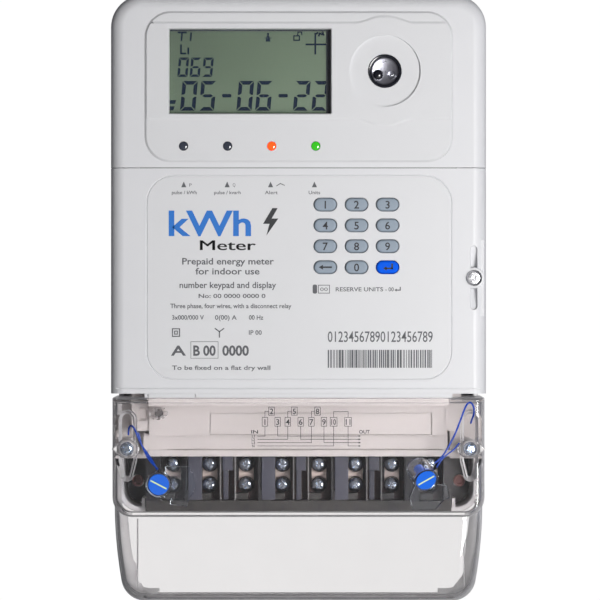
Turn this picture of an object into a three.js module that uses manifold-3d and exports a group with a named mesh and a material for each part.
// A three-phase prepaid electricity meter with a keypad, a display, an optical port and a clear
// terminal cover. Millimetres, +Z up, the front faces -Y, and the origin is on the wall face at the
// middle of the meter. Every piece that comes apart on a bench is a mesh of its own.
import * as THREE from "three";
import { mergeVertices } from "three/addons/utils/BufferGeometryUtils.js";
import Module from "manifold-3d";

const wasm = await Module();
wasm.setup();

// Driving dimensions.
const WIDTH = 170;
const HEIGHT = 277;
const DEPTH = 80;
const WALL = 2.4;
const GAP = 0.3;

// The case seen from the front.
const HALF = WIDTH / 2;
const TOP = 136.5;
const BOTTOM = TOP - HEIGHT;
const CORNER = 14.5;
const EDGE = 6;
const FRONT = -DEPTH;
const BASE_FRONT = -30;
const BASE_INSET = 1.2;
const BASE_BOTTOM = -100.5;
const BASE_CORNER = 10;
const SEAM = 57.95;
const COVER_END = -44;
const TONGUE = { half: 69.5, low: -45.8, depth: 4 };

// The stepped skirt of the lower cover, above the terminals.
const SKIRT_FRONT = -50;
const SKIRT_STEP_FRONT = -46;
const SKIRT_STEP = -64;
const SKIRT_END = -73.8;
const SKIRT_HALF_TOP = 75;
const SKIRT_HALF_LOW = 71.3;
const RAIL = { half: 68.5, front: -63, low: -50 };
const DOOR = { left: -40.8, right: 61.4, low: -63.7, high: -53.6, depth: 1.5 };

// The display panel and what shows in it.
const BEZEL = { half: 69.6, low: 60.7, high: 128.8, corner: 11.7, front: FRONT - 0.6, back: FRONT + 4 };
const SCREEN = { left: -58.3, right: 14.6, low: 82.6, high: 120.8 };
const PORT = { x: 39, z: 101.7, ring: 16, recess: 0.6, window: 7.5 };
const LED = { first: -51.9, pitch: 19.9, z: 67.8, radius: 1.8 };
const BOARD_FRONT = FRONT + 10.4;
const BOARD = 1.6;
const BOARD_POSTS = { x: 66, z: [30, 110] };

// The keypad.
const KEY = { width: 10.1, height: 5.6, proud: 1.1, flange: 1, rim: 1, travel: 0.8, pill: 1.7 };
const KEY_COLUMNS = [12.1, 26.2, 40.2];
const KEY_ROWS = [41.4, 32, 22.6, 13.1];
const KEY_NAMES = [
  ["key_1", "key_2", "key_3"],
  ["key_4", "key_5", "key_6"],
  ["key_7", "key_8", "key_9"],
  ["key_back", "key_0", "key_enter"],
];

const KEY_PLACES = KEY_ROWS.flatMap((z) => KEY_COLUMNS.map((x) => [x, z]));

// The sealing screw of the lower cover.
const CASE_SCREW = { x: 79.2, z: 8.3, head: 3.4, shank: 1.8, slot: 28.8, slotWidth: 3.2 };

// The terminals.
const BLOCK = { half: 71, low: -100.2, high: -74.2, front: -36, back: -2.8, wing: 80.4, wingFront: -9 };
const TERMINALS = [1, 3, 4, 6, 7, 9, 10, 11];
const TERMINAL_PITCH = 17;
const TERMINAL_FIRST = -58.4;
const TERMINAL_LAST = 61.6;
const CLAMP = { half: 4.6, front: -23.6, back: -9, low: -92.5, high: -73, bore: 4.2, axis: -16 };
const CLAMP_SCREWS = [-78.2, -87.8];
const WELL = { half: 5.6, low: -94.8, floor: -24 };
const BUSBAR = { half: 3.5, front: -14, back: -12, high: -40.3 };
const MOUNT_HOLE = { x: 76, z: -87.1, radius: 3 };

// The clear terminal cover.
const COVER = { half: 85, top: -46.2, step: -102.6, wall: 2, front: -66, edge: 3.5 };
const COVER_LOW = { front: -54, edge: 5, taper: 2.5, corner: 11, bend: -112, high: -96 };
const COVER_SCREW = { x: 78.3, z: -69.6, head: 3, shank: 1.8, boss: 4.9 };
const POD = { z: -68.1, width: 11, height: 35, back: -56, slotWidth: 8, slotHeight: 31.6, floor: -58 };
const CABLE_GAP = 24;
const PLUNGER = { x: -64, z: -53.7, radius: 1.6, proud: 1.5 };

// The hanging hook at the back.
const HOOK = { half: 12, neck: 9.7, low: 99, high: 134.5, hole: 3.5, holeZ: 126 };

// Materials.
function finish(color, roughness, metalness) {
  return new THREE.MeshStandardMaterial({ color, roughness, metalness });
}
const plastic = (color, roughness = 0.55) => finish(color, roughness, 0);
const metal = (color, roughness = 0.3) => finish(color, roughness, 1);
const clear = (color, opacity) =>
  new THREE.MeshStandardMaterial({ color, roughness: 0.08, metalness: 0, transparent: true, opacity });
const MATERIALS = {
  case: plastic(0xdcdde0),
  bezel: plastic(0xd6d8da, 0.45),
  clearCover: clear(0xe8eef4, 0.3),
  lens: clear(0xf2f5f7, 0.25),
  lcd: plastic(0x7c8f70, 0.25),
  board: plastic(0x1f6b3a, 0.5),
  portLens: clear(0x1a1a24, 0.85),
  steel: metal(0xc9ccd1, 0.25),
  ledOff: clear(0x565a60, 0.7),
  ledRed: plastic(0xff5a1e, 0.2),
  ledGreen: plastic(0x4ddc2a, 0.2),
  key: plastic(0x9aa7b4, 0.6),
  keyEnter: plastic(0x0a6cf5, 0.55),
  rubber: plastic(0x8b959e, 0.8),
  black: plastic(0x1b1b1f, 0.5),
  brass: metal(0xc9b49a, 0.35),
  ferrite: plastic(0x23548c, 0.5),
  relay: plastic(0x2d2f33, 0.5),
  transformer: plastic(0xc9a227, 0.5),
  battery: plastic(0x3b7a57, 0.4),
  seal: clear(0xbcc8e0, 0.5),
  wire: plastic(0x1f4fc4, 0.4),
};

// Solids. A geometry becomes a manifold-3d solid to be joined or cut, and comes back as a geometry.
function solid(geometry) {
  const bare = new THREE.BufferGeometry();
  bare.setAttribute("position", geometry.getAttribute("position"));
  if (geometry.index) bare.setIndex(geometry.index);
  const merged = mergeVertices(bare, 1e-4);
  const vertProperties = merged.attributes.position.array;
  const triVerts = new Uint32Array(merged.index.array);
  const made = new wasm.Manifold(new wasm.Mesh({ numProp: 3, vertProperties, triVerts }));
  if (made.volume() > 0) return made;
  for (let i = 0; i < triVerts.length; i += 3) {
    [triVerts[i], triVerts[i + 1]] = [triVerts[i + 1], triVerts[i]];
  }
  return new wasm.Manifold(new wasm.Mesh({ numProp: 3, vertProperties, triVerts }));
}

function geometryOf(made) {
  const mesh = made.getMesh();
  const stride = mesh.numProp;
  const positions = new Float32Array(mesh.numVert * 3);
  for (let i = 0; i < mesh.numVert; i++) {
    positions.set(mesh.vertProperties.subarray(i * stride, i * stride + 3), i * 3);
  }
  const geometry = new THREE.BufferGeometry();
  geometry.setAttribute("position", new THREE.BufferAttribute(positions, 3));
  geometry.setIndex(new THREE.BufferAttribute(new Uint32Array(mesh.triVerts), 1));
  geometry.computeVertexNormals();
  return geometry;
}

const joined = (...solids) => solids.reduce((a, b) => a.add(b));
const cut = (from, ...tools) => tools.reduce((a, b) => a.subtract(b), from);

// A rectangle in the XZ plane with its own corner radii at the top and the bottom.
function outline(left, low, right, high, topRadius = 0, bottomRadius = topRadius, steps = 5) {
  const points = [];
  const corner = (x, z, r, start) => {
    const count = r > 0 ? steps : 0;
    for (let i = 0; i <= count; i++) {
      const angle = start + (i / steps) * (Math.PI / 2);
      points.push(new THREE.Vector2(x + r * Math.cos(angle), z + r * Math.sin(angle)));
    }
  };
  const [t, b] = [topRadius, bottomRadius];
  corner(right - b, low + b, b, -Math.PI / 2);
  corner(right - t, high - t, t, 0);
  corner(left + t, high - t, t, Math.PI / 2);
  corner(left + b, low + b, b, Math.PI);
  const apart = (point, i) => point.distanceTo(points[(i + 1) % points.length]) > 1e-3;
  return new THREE.Shape(points.filter(apart));
}

// A slot with round ends, centred at x, z.
function stadium(x, z, width, height) {
  const r = Math.min(width, height) / 2;
  return outline(x - width / 2, z - height / 2, x + width / 2, z + height / 2, r, r, 3);
}

// A shape drawn in XZ, standing from back to front along Y.
function prism(shape, front, back) {
  const geometry = new THREE.ExtrudeGeometry(shape, { depth: back - front, bevelEnabled: false });
  geometry.rotateX(Math.PI / 2).translate(0, back, 0);
  return solid(geometry);
}

// The same with its front edge rounded, and its back end cut off square.
function pillow(shape, front, back, radius, segments = 2) {
  const geometry = new THREE.ExtrudeGeometry(shape, {
    depth: back - front - radius,
    bevelEnabled: true,
    bevelThickness: radius,
    bevelSize: radius,
    bevelOffset: -radius,
    bevelSegments: segments,
  });
  geometry.rotateX(Math.PI / 2).translate(0, back, 0);
  return cut(solid(geometry), box(-HALF - 9, HALF + 9, back, back + radius + 1, BOTTOM - 9, TOP + 9));
}

function box(x0, x1, y0, y1, z0, z1) {
  const geometry = new THREE.BoxGeometry(x1 - x0, y1 - y0, z1 - z0);
  geometry.translate((x0 + x1) / 2, (y0 + y1) / 2, (z0 + z1) / 2);
  return solid(geometry);
}

// A round bar along Y at x, z.
function rod(x, z, radius, front, back, sides = 16) {
  const geometry = new THREE.CylinderGeometry(radius, radius, back - front, sides);
  geometry.translate(x, (front + back) / 2, z);
  return solid(geometry);
}

// A round bar along Z at x, y.
function post(x, y, radius, low, high, sides = 20) {
  const geometry = new THREE.CylinderGeometry(radius, radius, high - low, sides);
  geometry.rotateX(Math.PI / 2).translate(x, y, (low + high) / 2);
  return solid(geometry);
}

const meter = new THREE.Group();

function add(name, made, material, parent = meter) {
  const mesh = new THREE.Mesh(geometryOf(made), material);
  mesh.name = name;
  parent.add(mesh);
  return mesh;
}

const terminalX = (i) => (i < TERMINALS.length - 1 ? TERMINAL_FIRST + i * TERMINAL_PITCH : TERMINAL_LAST);

// Rear shell: a tub with the posts, the mounting holes and the channel of the hanging hook.
function baseCase() {
  const half = HALF - BASE_INSET;
  const high = TOP - GAP;
  const floor = -WALL - 0.1;
  const outer = prism(outline(-half, BASE_BOTTOM, half, high, CORNER, BASE_CORNER), BASE_FRONT, 0);
  const inner = prism(
    outline(-half + WALL, BASE_BOTTOM + WALL, half - WALL, high - WALL, CORNER - WALL, BASE_CORNER - WALL),
    BASE_FRONT - 1,
    floor,
  );
  let made = cut(outer, inner);
  for (const side of [-1, 1]) {
    const x = side * COVER_SCREW.x;
    made = joined(made, rod(x, COVER_SCREW.z, 4.3, COVER.front + 23.7, floor + 1));
    made = cut(made, rod(x, COVER_SCREW.z, 2.1, COVER.front + 22, BASE_FRONT));
    for (const z of BOARD_POSTS.z) {
      made = joined(made, rod(side * BOARD_POSTS.x, z, 3, -27.7, floor + 1, 12));
    }
    const rib = side * (BLOCK.half + 1.3);
    made = joined(made, box(rib - 0.8, rib + 0.8, BASE_FRONT, -9.6, BASE_BOTTOM + 1, BASE_BOTTOM + 6.5));
    made = cut(made, rod(side * MOUNT_HOLE.x, MOUNT_HOLE.z, MOUNT_HOLE.radius, floor - 1, 1));
  }
  made = joined(made, rod(CASE_SCREW.x, CASE_SCREW.z, 3, -45, floor + 1));
  made = cut(made, rod(CASE_SCREW.x, CASE_SCREW.z, 2.1, -46, -33));
  const mouth = BLOCK.half + GAP;
  made = cut(made, box(-mouth, mouth, BASE_FRONT - 1, floor, BASE_BOTTOM - 1, BASE_BOTTOM + WALL + 1));
  const channel = HOOK.half + GAP;
  made = joined(made, box(-channel - 3, channel + 3, -6, floor + 0.5, HOOK.low - 4, high - 1));
  return cut(
    made,
    box(-channel, channel, -3.4, -0.9, HOOK.low - GAP, TOP + 1),
    box(-HOOK.neck - GAP, HOOK.neck + GAP, -2, 1, HOOK.low - GAP, TOP + 1),
  );
}

// The front shell before it is parted at the seam.
function frontShell() {
  const outer = pillow(outline(-HALF, COVER_END - 20, HALF, TOP, CORNER, 0), FRONT, BASE_FRONT - GAP, EDGE);
  const inset = HALF - WALL;
  const inner = pillow(
    outline(-inset, COVER_END - 18, inset, TOP - WALL, CORNER - WALL, 0),
    FRONT + WALL,
    BASE_FRONT + 1,
    EDGE - WALL,
  );
  return { outer, shell: cut(outer, inner) };
}

const { outer: SHELL_OUTER, shell: SHELL } = frontShell();

function upperCover() {
  const below = box(-HALF - 1, HALF + 1, FRONT - 1, 1, BOTTOM, SEAM + GAP / 2);
  const { half, low, high, corner } = BEZEL;
  const opening = outline(-half - GAP, low - GAP, half + GAP, high + GAP, corner + GAP);
  return cut(SHELL, below, prism(opening, FRONT - 1, FRONT + WALL + 2));
}

function lowerCover() {
  const above = box(-HALF - 1, HALF + 1, FRONT - 1, 1, SEAM - GAP / 2, TOP + 1);
  const below = box(-HALF - 1, HALF + 1, FRONT - 1, 1, BOTTOM, COVER_END);
  const endWall = cut(
    SHELL_OUTER,
    box(-HALF - 1, HALF + 1, FRONT - 1, 1, COVER_END + WALL, TOP + 1),
    below,
    box(-HALF + WALL, HALF - WALL, -31, 1, BOTTOM, TOP),
  );
  const band = (half, front, low, high, back = BASE_FRONT - GAP) => box(-half, half, front, back, low, high);
  const skirt = joined(
    band(SKIRT_HALF_TOP, SKIRT_FRONT, -62, COVER_END + WALL),
    band(SKIRT_HALF_LOW, SKIRT_FRONT, SKIRT_STEP, -61),
    band(SKIRT_HALF_LOW, SKIRT_STEP_FRONT, SKIRT_END, SKIRT_STEP + 1),
    band(SKIRT_HALF_LOW, SKIRT_STEP_FRONT - 1.6, SKIRT_END, SKIRT_END + 3.2, SKIRT_STEP_FRONT + 1),
    band(RAIL.half, RAIL.front, RAIL.low, COVER_END + WALL, SKIRT_FRONT + 1),
    band(TONGUE.half, FRONT, TONGUE.low, COVER_END + 1, FRONT + TONGUE.depth),
  );
  const cavity = joined(
    band(SKIRT_HALF_TOP - WALL, SKIRT_FRONT + WALL, -60.5, COVER_END + WALL + 1, 0),
    band(SKIRT_HALF_LOW - WALL, SKIRT_STEP_FRONT + WALL, SKIRT_END + WALL, -60, 0),
  );
  const { left, right, low, high, depth } = DOOR;
  const doorPocket = box(left, right, SKIRT_FRONT - 1, SKIRT_FRONT + depth, low, high);
  let made = cut(joined(cut(SHELL, above, below), endWall, skirt), cavity, doorPocket);
  made = cut(made, rod(PLUNGER.x, PLUNGER.z, PLUNGER.radius + GAP, SKIRT_FRONT - 1, SKIRT_FRONT + 4));
  for (const [x, z] of KEY_PLACES) {
    const hole = stadium(x, z, KEY.width + 2 * GAP, KEY.height + 2 * GAP);
    made = cut(made, prism(hole, FRONT - 1, FRONT + WALL + 1));
  }
  const { x, z, head, slot, slotWidth } = CASE_SCREW;
  const reach = slot / 2 + 2;
  made = joined(made, box(x - 3.4, HALF - WALL + 0.2, FRONT + 1.5, FRONT + 10, z - reach, z + reach));
  made = cut(made, prism(stadium(x, z, slotWidth, slot), FRONT - 1, FRONT + 5));
  made = joined(made, rod(x, z, head + 1, FRONT + 0.3, FRONT + 10));
  return cut(made, rod(x, z, head + 0.25, FRONT - 1, FRONT + 3), rod(x, z, 2.1, FRONT, FRONT + 11));
}

// The display panel, let into the upper cover from behind.
function displayBezel() {
  const { half, low, high, corner } = BEZEL;
  const face = (lip) => outline(-half - lip, low - lip, half + lip, high + lip, corner + lip);
  const screen = outline(SCREEN.left, SCREEN.low, SCREEN.right, SCREEN.high);
  const flange = prism(face(1.6), FRONT + WALL + GAP, BEZEL.back);
  let made = joined(prism(face(0), BEZEL.front, BEZEL.back), flange);
  made = cut(made, prism(screen, FRONT - 1, BEZEL.back + 1));
  made = cut(made, rod(PORT.x, PORT.z, PORT.ring, FRONT - 1, BEZEL.front + PORT.recess, 28));
  made = cut(made, rod(PORT.x, PORT.z, PORT.window + GAP, FRONT - 1, BEZEL.back + 1, 20));
  for (let i = 0; i < 4; i++)
    made = cut(made, rod(LED.first + i * LED.pitch, LED.z, LED.radius + GAP, FRONT - 1, BEZEL.back + 1, 8));
  return made;
}

function led() {
  const { radius } = LED;
  const front = FRONT + 1.6;
  const profile = [[0, BOARD_FRONT - GAP], [radius, BOARD_FRONT - GAP], [radius, front]];
  for (let i = 1; i < 4; i++) {
    const angle = (i * Math.PI) / 8;
    profile.push([radius * Math.cos(angle), front - radius * 0.6 * Math.sin(angle)]);
  }
  profile.push([0, front - radius * 0.6]);
  return solid(new THREE.LatheGeometry(profile.map(([r, y]) => new THREE.Vector2(r, y)), 8));
}

// One key: a domed cap in its slot, a flange behind the wall and a contact pill over the board.
function key() {
  const { width, height, proud, flange, rim, pill, travel } = KEY;
  const back = FRONT + WALL + GAP;
  const cap = pillow(stadium(0, 0, width, height), FRONT - proud, back + 0.5, 0.8, 1);
  const plate = prism(stadium(0, 0, width + 2 * rim, height + 2 * rim), back, back + flange);
  return joined(cap, plate, rod(0, 0, pill, back + 0.5, BOARD_FRONT - GAP - travel, 8));
}

function keypadMat() {
  const [left, , right] = KEY_COLUMNS;
  const front = FRONT + 5.2;
  let made = prism(outline(left - 8, KEY_ROWS[3] - 6, right + 8, KEY_ROWS[0] + 6, 3), front, front + 1);
  for (const [x, z] of KEY_PLACES) made = cut(made, rod(x, z, KEY.pill + 0.5, front - 1, front + 2, 8));
  return made;
}

// The moulded block with a well, a clamp pocket and a cable hole for each terminal.
function terminalBlock() {
  const { half, low, high, front, back, wing, wingFront } = BLOCK;
  let made = joined(
    box(-half, half, front, back, low, high),
    prism(outline(-wing, low + 3, wing, high - 1.2, 1, 7), wingFront, back),
  );
  TERMINALS.forEach((_, i) => {
    const x = terminalX(i);
    made = cut(
      made,
      box(x - WELL.half, x + WELL.half, front - 1, WELL.floor, WELL.low, high + 1),
      box(x - 5, x + 5, WELL.floor - 1, CLAMP.back + GAP, WELL.low, high + 1),
      post(x, CLAMP.axis, 4.7, low - 1, WELL.low + 1, 12),
    );
  });
  for (const i of [0, 2, 4]) {
    const x = (terminalX(i) + terminalX(i + 1)) / 2;
    made = cut(made, box(x - 1.8, x + 1.8, front - 1, front + 7, -90, high + 1));
  }
  for (const side of [-1, 1])
    made = cut(made, rod(side * MOUNT_HOLE.x, MOUNT_HOLE.z, MOUNT_HOLE.radius, wingFront - 30, 0));
  return cut(made, box(terminalX(6), terminalX(7), -11.6, CLAMP.back + GAP, -86, -79));
}

function clampBody(x) {
  const { half, front, back, low, high, bore, axis } = CLAMP;
  let made = box(x - half, x + half, front, back, low, high);
  made = cut(made, post(x, axis, bore, low - 1, high - 1, 12));
  for (const z of CLAMP_SCREWS) made = cut(made, rod(x, z, 2.4, front - 1, axis, 8));
  return made;
}

function busbar(x) {
  const { half, front, back, high } = BUSBAR;
  return box(x - half, x + half, front, back, CLAMP.high - 0.5, high);
}

function neutralTerminal() {
  const [a, b] = [terminalX(6), terminalX(7)];
  const link = box(a + CLAMP.half - 0.5, b - CLAMP.half + 0.5, -11.2, CLAMP.back, -85.5, -79.5);
  return joined(clampBody(a), clampBody(b), link);
}

// The two screws of one terminal and the pressure plate that they drive.
function clampScrews() {
  let made = box(-2.5, 2.5, -19, -18, CLAMP_SCREWS[1] - 3.6, CLAMP_SCREWS[0] + 2.4);
  for (const z of CLAMP_SCREWS) {
    made = joined(made, rod(0, z, 2, -28, -18.5, 8), rod(0, z, 3.4, -30.4, -27.4, 12));
    made = cut(made, box(-4, 4, -31, -29.4, z - 0.45, z + 0.45));
  }
  return made;
}

function screw(head, shank, headFront, headBack, tip) {
  const made = joined(rod(0, 0, head, headFront, headBack, 20), rod(0, 0, shank, headBack - 0.5, tip, 12));
  const reach = head * 0.62;
  return cut(
    made,
    box(-reach, reach, headFront - 1, headFront + 1, -0.45, 0.45),
    box(-0.45, 0.45, headFront - 1, headFront + 1, -reach, reach),
  );
}

function ring(inner, outer, low, high, sides) {
  const profile = [[inner, low], [outer, low], [outer, high], [inner, high], [inner, low]];
  return new THREE.LatheGeometry(profile.map(([r, y]) => new THREE.Vector2(r, y)), sides);
}

// The lower half of the clear cover narrows downwards and has large round corners.
function skirtOutline(inset) {
  const half = COVER.half - inset;
  const low = BOTTOM + inset;
  const { taper, bend, high } = COVER_LOW;
  const r = COVER_LOW.corner - inset;
  const shape = new THREE.Shape();
  shape.moveTo(-half + taper + r, low);
  shape.lineTo(half - taper - r, low);
  shape.absarc(half - taper - r, low + r, r, -Math.PI / 2, 0, false);
  shape.lineTo(half, bend);
  shape.lineTo(half, high);
  shape.lineTo(-half, high);
  shape.lineTo(-half, bend);
  shape.lineTo(-half + taper, low + r);
  shape.absarc(-half + taper + r, low + r, r, Math.PI, 1.5 * Math.PI, false);
  return shape;
}

function terminalCover() {
  const { half, front, wall, step, top, edge } = COVER;
  const back = BASE_FRONT - GAP;
  const face = (inset) => outline(-half + inset, step + inset, half - inset, top - inset, 0, 9 - inset);
  const upper = (inset, y, radius, end) => pillow(face(inset), y, end, radius);
  const lower = (inset, y, radius, end) => pillow(skirtOutline(inset), y, end, radius);
  const behindBase = box(-half - 1, half + 1, back, 1, BASE_BOTTOM - 0.6, TOP);
  const lowerOuter = cut(lower(0, COVER_LOW.front, COVER_LOW.edge, -1.5), behindBase);
  const outer = joined(upper(0, front, edge, back), lowerOuter);
  const inner = joined(
    upper(wall, front + wall, edge - wall, back + 1),
    lower(wall, COVER_LOW.front + wall, COVER_LOW.edge - wall, 0),
  );
  const aboveSkirt = box(-SKIRT_HALF_TOP - 0.6, SKIRT_HALF_TOP + 0.6, SKIRT_FRONT - 0.6, 1, -62, TOP);
  const besideRail = box(-RAIL.half - 0.6, RAIL.half + 0.6, RAIL.front - 0.6, 1, RAIL.low - 0.6, TOP);
  const cables = box(-66, 66, -CABLE_GAP, 1, BOTTOM - 1, BOTTOM + 12);
  let made = cut(outer, inner, aboveSkirt, besideRail, cables);
  for (const side of [-1, 1]) {
    const x = side * COVER_SCREW.x;
    const { z, boss } = COVER_SCREW;
    made = joined(made, prism(stadium(x, POD.z, POD.width, POD.height), front + 0.4, POD.back));
    made = cut(made, prism(stadium(x, POD.z, POD.slotWidth, POD.slotHeight), front - 1, POD.floor));
    made = joined(made, rod(x, z, boss, front + 0.2, front + 23.4, 20));
    made = cut(made, rod(x, z, COVER_SCREW.head + 0.4, front - 1, front + 3, 20));
    made = cut(made, rod(x, z, 2.2, front, front + 25, 12));
  }
  const tip = SKIRT_FRONT - PLUNGER.proud - GAP;
  return joined(
    made,
    box(PLUNGER.x - 4, PLUNGER.x + 4, front + 1.5, tip, PLUNGER.z - 0.8, PLUNGER.z + 0.8),
    box(PLUNGER.x - 0.8, PLUNGER.x + 0.8, front + 1.5, tip, PLUNGER.z - 2.7, PLUNGER.z + 2.7),
  );
}

function hangingHook() {
  const { half, neck, low, high, hole, holeZ } = HOOK;
  const made = joined(
    prism(outline(-half, low, half, high, 4, 0), -3.1, -1.2),
    prism(outline(-neck, low, neck, high, 3, 0), -1.5, -GAP),
  );
  return cut(made, rod(0, holeZ, hole, -4, 1, 20));
}

// A seal is a round clear body with a flag. Its own axis is Y, with the face towards -Y.
const SEAL = { radius: 5.7, length: 12, flagFront: -9.2, flagBack: -8 };
const SEAL_RIGHT_AXIS = [0.275, -0.866, -0.415];
const FLAG_LEFT = [
  [2, -5.5], [5.1, -7.4], [5.1, -9.3], [12.8, -10], [13.4, -7.2], [16.6, -2.4], [16.8, 0.7], [14.3, 7.3],
  [13.8, 8.3], [3, 8.3],
];
const FLAG_RIGHT = [
  [-6.3, -9.7], [-4.5, -15.4], [-3.5, -16.5], [6.6, -17], [10.3, -12.7], [13.1, -11.5], [12.3, -7.9],
  [10.9, -4.7], [7.1, -4], [2, -2], [-4, -3],
];
function seal(flag) {
  const shape = new THREE.Shape(flag.map(([x, z]) => new THREE.Vector2(x, z)));
  return joined(rod(0, 0, SEAL.radius, -SEAL.length, 0, 16), prism(shape, SEAL.flagFront, SEAL.flagBack));
}

// The route of a sealing wire is a smooth curve through points chosen by hand.
const WIRE_LEFT = [
  [-77.8, -60.2, -63.4], [-77.6, -61.2, -60.8], [-76.8, -63.6, -59.2], [-75.5, -66.2, -59.4],
  [-74.3, -67.1, -61.2], [-73.2, -67.1, -64], [-71.5, -67.1, -67.7], [-69.2, -67.1, -71.1],
  [-67.3, -67.2, -73.9], [-65.7, -67.9, -76.5], [-64.3, -69, -78.9],
];
const WIRE_RIGHT = [
  [78.8, -60.4, -58], [79.3, -62.6, -56], [79.8, -65.2, -54.1], [79.9, -67, -51.7], [79.4, -67.6, -49.6],
  [78.2, -67.7, -48.4], [76.8, -67.6, -49.1], [75.5, -67.3, -51.6], [73.6, -67.1, -56.8],
  [71.1, -67.1, -63.1], [68, -67.1, -69], [66.2, -67.3, -71.9], [64.2, -67.9, -74.2], [62, -68.6, -75.9],
];
const WIRE = 0.9;
function wire(points) {
  const path = new THREE.CatmullRomCurve3(points.map((p) => new THREE.Vector3(...p)));
  const section = new THREE.Shape().absarc(0, 0, WIRE / 2, 0, 2 * Math.PI, false);
  return solid(new THREE.ExtrudeGeometry(section, { extrudePath: path, steps: 24, curveSegments: 4 }));
}

function buildCase() {
  add("base_case", baseCase(), MATERIALS.case);
  add("upper_cover", upperCover(), MATERIALS.case);
  add("lower_cover", lowerCover(), MATERIALS.case);
  const { left, right, low, high, depth } = DOOR;
  const [front, back] = [SKIRT_FRONT + 0.1, SKIRT_FRONT + depth - GAP];
  add("battery_door", box(left + GAP, right - GAP, front, back, low + GAP, high - GAP), MATERIALS.case);
  const { x, z, head, shank } = CASE_SCREW;
  const sealing = screw(head, shank, FRONT + 0.7, FRONT + 2.7, -36);
  add("case_sealing_screw", sealing, MATERIALS.steel).position.set(x, 0, z);
  add("hanging_hook", hangingHook(), MATERIALS.steel);
}

function buildDisplay() {
  add("display_bezel", displayBezel(), MATERIALS.bezel);
  const { left, right, low, high } = SCREEN;
  const pane = outline(left + 0.4, low + 0.4, right - 0.4, high - 0.4);
  const panel = outline(left - 2, low - 2, right + 1, high + 2);
  add("display_window", prism(pane, BEZEL.front + 0.4, BEZEL.front + 1.6), MATERIALS.lens);
  add("lcd_panel", prism(panel, BEZEL.back + GAP, BEZEL.back + 3.2), MATERIALS.lcd);
  add("display_board", box(-72, 72, BOARD_FRONT, BOARD_FRONT + BOARD, -6, 128), MATERIALS.board);
  const steelRing = ring(9, PORT.ring, BEZEL.back + GAP, BEZEL.back + 1.8, 20);
  add("optical_port_ring", solid(steelRing), MATERIALS.steel).position.set(PORT.x, 0, PORT.z);
  const lens = rod(0, 0, PORT.window, BEZEL.front + 0.9, BEZEL.front + 2.3, 20);
  add("optical_port_window", lens, MATERIALS.portLens).position.set(PORT.x, 0, PORT.z);
  const leds = [
    ["led_active_pulse", MATERIALS.ledOff],
    ["led_reactive_pulse", MATERIALS.ledOff],
    ["led_warning", MATERIALS.ledRed],
    ["led_credit", MATERIALS.ledGreen],
  ];
  leds.forEach(([name, material], i) => {
    add(name, led(), material).position.set(LED.first + i * LED.pitch, 0, LED.z);
  });
}

function buildKeypad() {
  KEY_NAMES.flat().forEach((name, i) => {
    const [x, z] = KEY_PLACES[i];
    const material = name === "key_enter" ? MATERIALS.keyEnter : MATERIALS.key;
    add(name, key(), material).position.set(x, 0, z);
  });
  add("keypad_mat", keypadMat(), MATERIALS.rubber);
}

function buildInside() {
  add("main_board", box(-73, 73, -29.6, -28, -8, 126), MATERIALS.board);
  add("disconnect_relay", box(-64, 36, -26, -4, BUSBAR.high + GAP, -12), MATERIALS.relay);
  add("supply_transformer", box(36, 64, -54, -29.6 - GAP, 44, 70), MATERIALS.transformer);
  for (const [n, i] of [[1, 0], [2, 2], [3, 4]]) {
    const core = ring(4.6, 8, -5, 5, 14).rotateX(Math.PI / 2);
    const y = (BUSBAR.front + BUSBAR.back) / 2;
    add("current_transformer_" + n, solid(core), MATERIALS.ferrite).position.set(terminalX(i), y, -58);
  }
  const cell = new THREE.CylinderGeometry(6.4, 6.4, 25, 20).rotateZ(Math.PI / 2);
  add("backup_battery", solid(cell), MATERIALS.battery).position.set(-15, -38.4, -55.4);
  const { x, z, radius, proud } = PLUNGER;
  const plunger = joined(rod(x, z, radius, SKIRT_FRONT - proud, -40, 12), rod(x, z, 3, SKIRT_FRONT + WALL + 2.2, -40, 12));
  add("tamper_plunger", plunger, MATERIALS.black);
}

function buildTerminals() {
  add("terminal_block", terminalBlock(), MATERIALS.black);
  TERMINALS.forEach((n, i) => {
    const x = terminalX(i);
    if (n < 10) add("terminal_" + n, joined(clampBody(x), busbar(x)), MATERIALS.brass);
    add("clamp_screws_" + n, clampScrews(), MATERIALS.steel).position.set(x, 0, 0);
  });
  add("terminal_neutral_10_11", neutralTerminal(), MATERIALS.brass);
}

function buildTerminalCover() {
  add("terminal_cover", terminalCover(), MATERIALS.clearCover);
  for (const [name, side] of [["cover_screw_left", -1], ["cover_screw_right", 1]]) {
    const made = screw(COVER_SCREW.head, COVER_SCREW.shank, COVER.front + 0.6, COVER.front + 2.7, -33);
    add(name, made, MATERIALS.steel).position.set(side * COVER_SCREW.x, 0, COVER_SCREW.z);
  }
  add("seal_left", seal(FLAG_LEFT), MATERIALS.seal).position.set(-63.3, COVER.front - GAP, -85.2);
  const right = add("seal_right", seal(FLAG_RIGHT), MATERIALS.seal);
  right.position.set(54.5, COVER.front - 3.2, -78.4);
  const facing = new THREE.Vector3(...SEAL_RIGHT_AXIS).normalize();
  right.quaternion.setFromUnitVectors(new THREE.Vector3(0, -1, 0), facing);
  add("seal_wire_left", wire(WIRE_LEFT), MATERIALS.wire);
  add("seal_wire_right", wire(WIRE_RIGHT), MATERIALS.wire);
}

buildCase();
buildDisplay();
buildKeypad();
buildInside();
buildTerminals();
buildTerminalCover();

export default meter;
